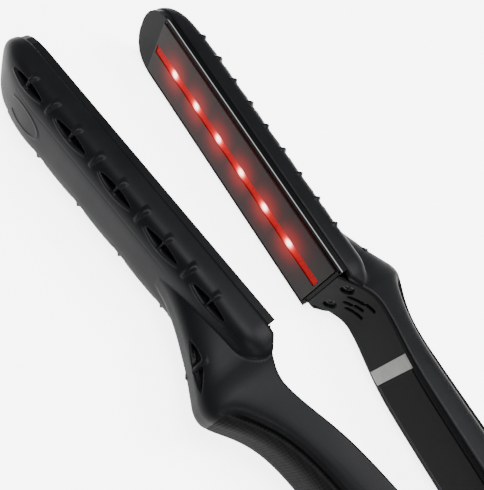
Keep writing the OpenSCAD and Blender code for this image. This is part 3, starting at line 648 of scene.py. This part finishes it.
# moulded thermoplastic rubber: the product of two sine waves that cross gives rows of small dull dots
def grippedRubber(name):
    material, tree, shader, where = newMaterial(name)
    axes = addNode(tree, "SeparateXYZ", where, output=None).outputs
    waves = []
    for angle in rubber["angles"]:
        x = addNode(tree, "Math", axes[0], math.cos(math.radians(angle)), operation="MULTIPLY")
        z = addNode(tree, "Math", axes[2], math.sin(math.radians(angle)), operation="MULTIPLY")
        slant = addNode(tree, "Math", x, z, operation="ADD")
        phase = addNode(tree, "Math", slant, 2 * math.pi / rubber["ridge"], operation="MULTIPLY")
        waves.append(addNode(tree, "Math", phase, operation="SINE"))
    dots = addNode(tree, "Math", *waves, operation="MULTIPLY")
    fine = addNode(tree, "TexNoise", where, 0, 1000 / rubber["grainSize"], 2, noiseRough)
    dotPart = addNode(tree, "Math", dots, rubber["dots"], operation="MULTIPLY")
    finePart = addNode(tree, "Math", fine, rubber["grain"], operation="MULTIPLY")
    height = addNode(tree, "Math", dotPart, finePart, operation="ADD")
    tone = addNode(tree, "MapRange", height, *rubber["tone"], 0, 1)
    fill(tree, shader, {
        "Base Color": addNode(tree, "Mix", **asColour, named={
            0: tone, 6: linear(rubber["dark"]), 7: linear(rubber["light"])}),
        "Roughness": addNode(tree, "MapRange", fine, *noiseSpan, *rubber["rough"]),
        "Normal": addNode(tree, "Bump", named={
            "Strength": rubber["strength"], "Distance": rubber["depth"] * 1e-3, "Height": height}),
        "Specular IOR Level": rubber["specular"]})
    return material


# six lamps under the strip: the first one's place, their distance and their number
lamp = dict(first=180.7, pitch=13.28, count=6, red="#ff0508", pale="#ffd9cc")


# closeness to the nearest lamp: one over one plus the fourth power of the distance from it, measured in
# spread mm along the arm and in width mm across it
def lampGlow(tree, coords, spread, width):
    along = addNode(tree, "Math", coords[0], -1000.0, operation="MULTIPLY")
    past = addNode(tree, "Math", along, lamp["first"], operation="SUBTRACT")
    step = addNode(tree, "Math", past, lamp["pitch"], operation="DIVIDE")
    nearest = addNode(tree, "Math", step, operation="ROUND")
    nearest = addNode(tree, "Math", nearest, 0.0, operation="MAXIMUM")
    nearest = addNode(tree, "Math", nearest, lamp["count"] - 1, operation="MINIMUM")
    gap = addNode(tree, "Math", step, nearest, operation="SUBTRACT")
    gap = addNode(tree, "Math", gap, lamp["pitch"] / spread, operation="MULTIPLY")
    side = addNode(tree, "Math", coords[2], 1000.0 / width, operation="MULTIPLY")
    gapSquare = addNode(tree, "Math", gap, gap, operation="MULTIPLY")
    sideSquare = addNode(tree, "Math", side, side, operation="MULTIPLY")
    square = addNode(tree, "Math", gapSquare, sideSquare, operation="ADD")
    fourth = addNode(tree, "Math", square, square, operation="MULTIPLY")
    below = addNode(tree, "Math", 1.0, fourth, operation="ADD")
    return addNode(tree, "Math", 1.0, below, operation="DIVIDE")


# heating plate: grinding lines 0.25 mm apart, stretched fifty times along the arm, a cloud, bare edges and a painted
# red glow
plate = dict(dark="#111211", light="#191a19", stretch=0.02, line=0.25, cloud=9, share=0.5, rough=(0.36, 0.5),
             depth=0.006, edge=(0.01008, 0.01016), edgeColour="#2c2d2e", metallic=(0.05, 1.0), specular=0.1,
             paintedGlowPower=0.4, paintedGlowSpread=5.0)


# ceramic coating on ground aluminium: dull near black with faint lines along the arm, a metal glint at its
# edges, and on the lit plate painted light: a red glow emitted by the plate that follows the lamps' glow
def coatedPlate(name, side, lit):
    material, tree, shader, where = newMaterial(name)
    coords = armCoords(tree, where, side)
    long = addNode(tree, "Math", coords[0], plate["stretch"], operation="MULTIPLY")
    stretched = addNode(tree, "CombineXYZ", long, coords[1], coords[2])
    lines = addNode(tree, "TexNoise", stretched, 0, 1000 / plate["line"], 2, noiseRough)
    cloud = addNode(tree, "TexNoise", where, 0, 1000 / plate["cloud"], 3, noiseRough)
    linePart = addNode(tree, "Math", lines, 1 - plate["share"], operation="MULTIPLY")
    cloudPart = addNode(tree, "Math", cloud, plate["share"], operation="MULTIPLY")
    tone = addNode(tree, "Math", linePart, cloudPart, operation="ADD")
    level = addNode(tree, "MapRange", tone, *noiseSpan, 0, 1)
    across = addNode(tree, "Math", coords[2], operation="ABSOLUTE")
    edge = addNode(tree, "MapRange", across, *plate["edge"], 0, 1)
    coat = addNode(tree, "Mix", **asColour, named={0: level, 6: linear(plate["dark"]), 7: linear(plate["light"])})
    fill(tree, shader, {
        "Base Color": addNode(tree, "Mix", **asColour, named={0: edge, 6: coat, 7: linear(plate["edgeColour"])}),
        "Roughness": addNode(tree, "MapRange", tone, *noiseSpan, *plate["rough"]),
        "Normal": addNode(tree, "Bump", named={"Distance": plate["depth"] * 1e-3, "Height": lines}),
        "Metallic": addNode(tree, "MapRange", edge, 0, 1, *plate["metallic"]),
        "Specular IOR Level": plate["specular"]})
    # painted light: the red glow of the lamps nearby is emitted by the plate itself
    if lit:
        glow = lampGlow(tree, coords, plate["paintedGlowSpread"], plate["paintedGlowSpread"])
        fill(tree, shader, {
            "Emission Color": linear(lamp["red"]),
            "Emission Strength": addNode(tree, "Math", glow, plate["paintedGlowPower"], operation="MULTIPLY")})
    return material


# lens strip: ripple size in mm, spreads of a lamp's core and halo in mm, and the strengths of its light
strip = dict(dark="#7a0206", light="#980408", ripple=1.2, core=(1.3, 1.3), halo=(4.5, 3.0), base=0.1, haloPower=0.35,
             corePower=6.0, rough=(0.3, 0.4), specular=0.03)


# clear red polycarbonate lit from behind: saturated red that turns pale at each lamp, brighter toward them
def litStrip(name):
    material, tree, shader, where = newMaterial(name)
    coords = armCoords(tree, where, 1)
    core = lampGlow(tree, coords, *strip["core"])
    halo = lampGlow(tree, coords, *strip["halo"])
    ripple = addNode(tree, "TexNoise", where, 0, 1000 / strip["ripple"], 2, noiseRough)
    level = addNode(tree, "MapRange", ripple, *noiseSpan, 0, 1)
    haloPart = addNode(tree, "Math", halo, strip["haloPower"], operation="MULTIPLY")
    corePart = addNode(tree, "Math", core, strip["corePower"], operation="MULTIPLY")
    power = addNode(tree, "Math", haloPart, corePart, operation="ADD")
    fill(tree, shader, {
        "Base Color": addNode(tree, "Mix", **asColour, named={
            0: level, 6: linear(strip["dark"]), 7: linear(strip["light"])}),
        "Emission Color": addNode(tree, "Mix", **asColour, named={
            0: core, 6: linear(lamp["red"]), 7: linear(lamp["pale"])}),
        "Emission Strength": addNode(tree, "Math", strip["base"], power, operation="ADD"),
        "Roughness": addNode(tree, "MapRange", ripple, *noiseSpan, *strip["rough"]),
        "Specular IOR Level": strip["specular"]})
    return material


# metals: colours, middle roughness and metallic
metals = {
    # case-hardened steel, blackened: dark with a dull metal sheen
    "blackened steel screw": dict(dark="#08090a", light="#17191a", rough=0.4, metallic=0.6),
    # ground and polished steel: bright, with small clear highlights
    "ground steel": dict(dark="#8a8d90", light="#b0b3b5", rough=0.28),
    # aluminium sheet from the press: bright but milky
    "pressed aluminium": dict(dark="#8f9396", light="#adb1b4", rough=0.4),
    # silver foil under a matt film: flat light grey
    "blank silver foil label": dict(dark="#62635f", light="#767773", rough=0.5, metallic=0.2)}
metal = dict(fine=0.3, cloud=6, smoother=0.06, rougher=0.1, depth=0.01)


# bare metal: colour follows a soft cloud, roughness and bump a fine grain
def bareMetal(name, dark, light, rough, metallic=1.0):
    material, tree, shader, where = newMaterial(name)
    fine = addNode(tree, "TexNoise", where, 0, 1000 / metal["fine"], 4, noiseRough)
    cloud = addNode(tree, "TexNoise", where, 0, 1000 / metal["cloud"], 3, noiseRough)
    level = addNode(tree, "MapRange", cloud, *noiseSpan, 0, 1)
    fill(tree, shader, {
        "Base Color": addNode(tree, "Mix", **asColour, named={0: level, 6: linear(dark), 7: linear(light)}),
        "Roughness": addNode(tree, "MapRange", fine, *noiseSpan, rough - metal["smoother"],
                             rough + metal["rougher"]),
        "Normal": addNode(tree, "Bump", named={"Distance": metal["depth"] * 1e-3, "Height": fine}),
        "Metallic": metallic})
    return material


# every skin by the node that it stands for
skins = {}
for part, build in (("shell", buildShell), ("grip", buildGrip), ("cover", buildCover), ("screws", buildScrews)):
    print("stage: building", part)
    for nodeName, side in ((part + "_near", -1), (part + "_far", 1)):
        skins[nodeName] = build(nodeName + "_skin", side)
print("stage: building label and panel")
for nodeName, sheet in sheets.items():
    skins[nodeName] = buildSheet(nodeName + "_skin", 1, **sheet)

# which finish each node gets, or the skin that stands for it
finishes = {
    "charcoal moulded ABS": ("shell_near", "shell_far"),
    "matte charcoal nylon": ("cover_near", "cover_far", "hinge_block_near", "hinge_block_far"),
    "black PPS carrier": ("carrier_near",),
    "black PPS carrier with painted shade and highlight": ("carrier_far",),
    "textured soft grip": ("grip_near", "grip_far"),
    "coated plate with painted red glow": ("plate_far",),
    "coated aluminium plate": ("plate_near",),
    "lit red lens strip": ("infrared_lens",),
    "blackened steel screw": ("screws_near", "screws_far"),
    "ground steel": ("leaf_springs_near", "leaf_springs_far", "hinge_pin", "torsion_spring"),
    "pressed aluminium": ("clamp_near", "clamp_far"),
    "blank silver foil label": ("blank_label",),
    "fired ceramic": ("heaters_near", "heaters_far", "cutout_near", "cutout_far"),
    "lacquered circuit board": ("lamp_board", "control_board"),
    "blank black film": ("blank_panel",),
    "glossy black cap": ("switches", "pin_caps"),
    "grey button ABS": ("power_button", "minus_button", "plus_button"),
    "smoked display window": ("display_window",),
    "black TPE collar": ("swivel_collar",),
    "clear lamp resin": ("lamps",)}

# edges of the carried-over nodes are rounded by this many millimetres
rounding = {
    "carrier_near": 0.25, "carrier_far": 0.25, "plate_near": 0.1, "plate_far": 0.1, "infrared_lens": 0.15,
    "power_button": 0.3, "minus_button": 0.3, "plus_button": 0.3, "display_window": 0.2,
    "hinge_block_near": 0.4, "hinge_block_far": 0.4, "pin_caps": 0.5, "swivel_collar": 0.3}
roundingSteps = 3
flattestRounded = 28  # degrees: a flatter edge stays as it is


# gives every piece its finish: own skins stand in for their nodes, the other nodes keep their shape
def dressAll():
    made = ([mouldedPlastic(name, **look) for name, look in plastics.items()]
            + [bareMetal(name, **look) for name, look in metals.items()]
            + [grippedRubber("textured soft grip"), litStrip("lit red lens strip"),
               coatedPlate("coated plate with painted red glow", 1, True), coatedPlate("coated aluminium plate", -1, False)])
    made = {material.name: material for material in made}
    pieces = {**frame["nodes"], **skins}
    for finish, nodeNames in finishes.items():
        for nodeName in nodeNames:
            materials = pieces[nodeName].data.materials
            materials.clear()
            materials.append(made[finish])
    print("stage: materials on", sum(len(nodeNames) for nodeNames in finishes.values()), "pieces")


dressAll()
for nodeName, width in rounding.items():
    bevel = frame["nodes"][nodeName].modifiers.new("rounded edges", "BEVEL")
    bevel.width = width * 1e-3
    bevel.segments = roundingSteps
    bevel.limit_method = "ANGLE"
    bevel.angle_limit = math.radians(flattestRounded)
    bevel.harden_normals = True
for nodeName, skin in skins.items():
    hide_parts(nodeName)

# floor of pale paper and the studio round it: glow and light are what the part gets, seen what the camera sees
paper = dict(half=6.0, dark="#f4f4f4", light="#fafafa", patch=300, rough=0.9, glow=1.3, seen=4.5)
studio = dict(light=0.6, seen=4.5)


# a flat square of paper with a faint cloud, and an even white world
def buildStage():
    half = paper["half"]
    mesh = bpy.data.meshes.new("floor")
    mesh.from_pydata([(-half, -half, 0), (half, -half, 0), (half, half, 0), (-half, half, 0)], [], [(0, 1, 2, 3)])
    floor = bpy.data.objects.new("floor", mesh)
    bpy.context.scene.collection.objects.link(floor)
    material, tree, shader, where = newMaterial("pale studio paper")
    cloud = addNode(tree, "TexNoise", where, 0, 1000 / paper["patch"], 3, noiseRough)
    level = addNode(tree, "MapRange", cloud, *noiseSpan, 0, 1)
    seen = addNode(tree, "LightPath", output="Is Camera Ray")
    fill(tree, shader, {
        "Base Color": addNode(tree, "Mix", **asColour, named={
            0: level, 6: linear(paper["dark"]), 7: linear(paper["light"])}),
        "Roughness": paper["rough"],
        "Emission Color": linear("#ffffff"),
        "Emission Strength": addNode(tree, "MapRange", seen, 0, 1, paper["glow"], paper["seen"])})
    mesh.materials.append(material)
    world = bpy.data.worlds.new("soft studio")
    bpy.context.scene.world = world
    world.use_nodes = True
    seen = addNode(world.node_tree, "LightPath", output="Is Camera Ray")
    strength = addNode(world.node_tree, "MapRange", seen, 0, 1, studio["light"], studio["seen"])
    background = world.node_tree.nodes["Background"]
    fill(world.node_tree, background, {"Color": linear("#ffffff"), "Strength": strength})


# round soft lamps: place and target in metres, width in metres, power in watts
lights = {
    "key": dict(place=(0.25, 0.55, 0.9), target=(-0.02, 0, 0.01), size=0.5, power=16),
    "over": dict(place=(-0.12, -0.02, 1.0), target=(-0.02, 0, 0.01), size=0.4, power=12),
    "side": dict(place=(-0.9, -0.3, 0.45), target=(-0.02, 0, 0.01), size=0.5, power=0.8),
    "rim": dict(place=(0.5, -0.5, 0.6), target=(0, 0, 0.01), size=0.35, power=4)}


# a disk lamp that faces its target
def addLight(name, place, target, size, power):
    data = bpy.data.lights.new(name, "AREA")
    data.shape = "DISK"
    data.size = size
    data.energy = power
    light = bpy.data.objects.new(name, data)
    light.location = place
    light.rotation_euler = (Vector(target) - Vector(place)).to_track_quat("-Z", "Y").to_euler()
    bpy.context.scene.collection.objects.link(light)


# camera fitted to the photo: rotation, translation in mm from the hinge's middle, focal length in pixels
camera = dict(right=(0.59411, 0.69412, 0.40648), down=(0.78418, -0.38726, -0.48486),
              forward=(-0.17914, 0.60681, -0.77439), place=(-156.80, -97.73, 134.08),
              focal=594.45, middle=(256.10, 232.43), frame=(484, 490), sensor=36, near=0.005)


# its axes become the columns of its matrix, and the focal length is scaled to the frame's longer side
def buildCamera():
    data = bpy.data.cameras.new("photo camera")
    obj = bpy.data.objects.new("photo camera", data)
    right, down, forward = (Vector(camera[k]).normalized() for k in ("right", "down", "forward"))
    turn = Matrix((right, -down, -forward)).transposed().to_4x4()
    place = Vector([hinge[i] + camera["place"][i] * 1e-3 for i in range(3)])
    obj.matrix_world = Matrix.Translation(place) @ turn
    wide, high = camera["frame"]
    data.sensor_width = camera["sensor"]
    data.lens = camera["focal"] * camera["sensor"] / high
    data.shift_x = (wide / 2 - camera["middle"][0]) / high
    data.shift_y = (camera["middle"][1] - high / 2) / high
    data.clip_start = camera["near"]
    bpy.context.scene.collection.objects.link(obj)
    bpy.context.scene.camera = obj


buildStage()
for lightName, settings in lights.items():
    addLight(lightName, **settings)
buildCamera()
print("stage: camera and lights set")
